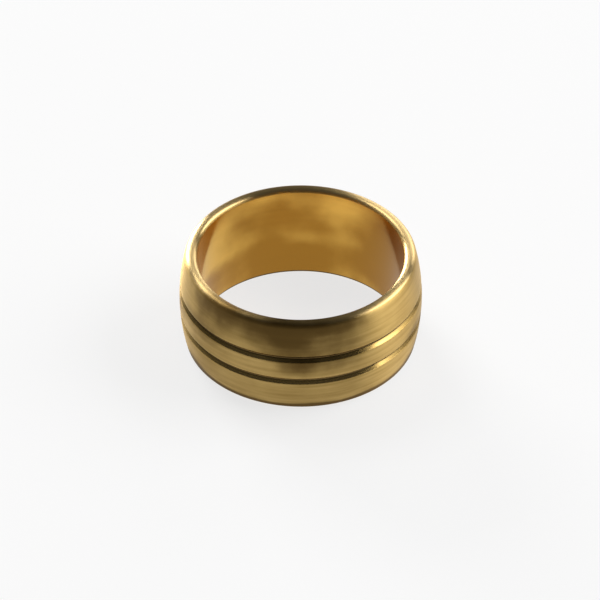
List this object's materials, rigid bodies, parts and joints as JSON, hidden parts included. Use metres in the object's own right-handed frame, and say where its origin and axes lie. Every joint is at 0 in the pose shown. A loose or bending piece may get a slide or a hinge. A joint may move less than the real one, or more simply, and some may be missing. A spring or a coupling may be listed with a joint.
{
  "type": "compression olive",
  "caption": "Barrel-shaped brass ring with a plain bore and fine turned grooves, squeezed onto a tube by a nut to seal a compression pipe joint.",
  "frame": {"origin": "centre of the lower end face, on the ring's axis", "axes": "+Z along the ring's axis, from the lower end to the upper end; X and Y are any two radii"},
  "size_m": [0.0176, 0.0176, 0.0077],
  "materials": {
    "turned_brass": "bare turned brass, dulled by handling, with fine tool marks round it"
  },
  "bodies": {
    "root": {"compression_olive": "turned_brass"}
  },
  "joints": []
}
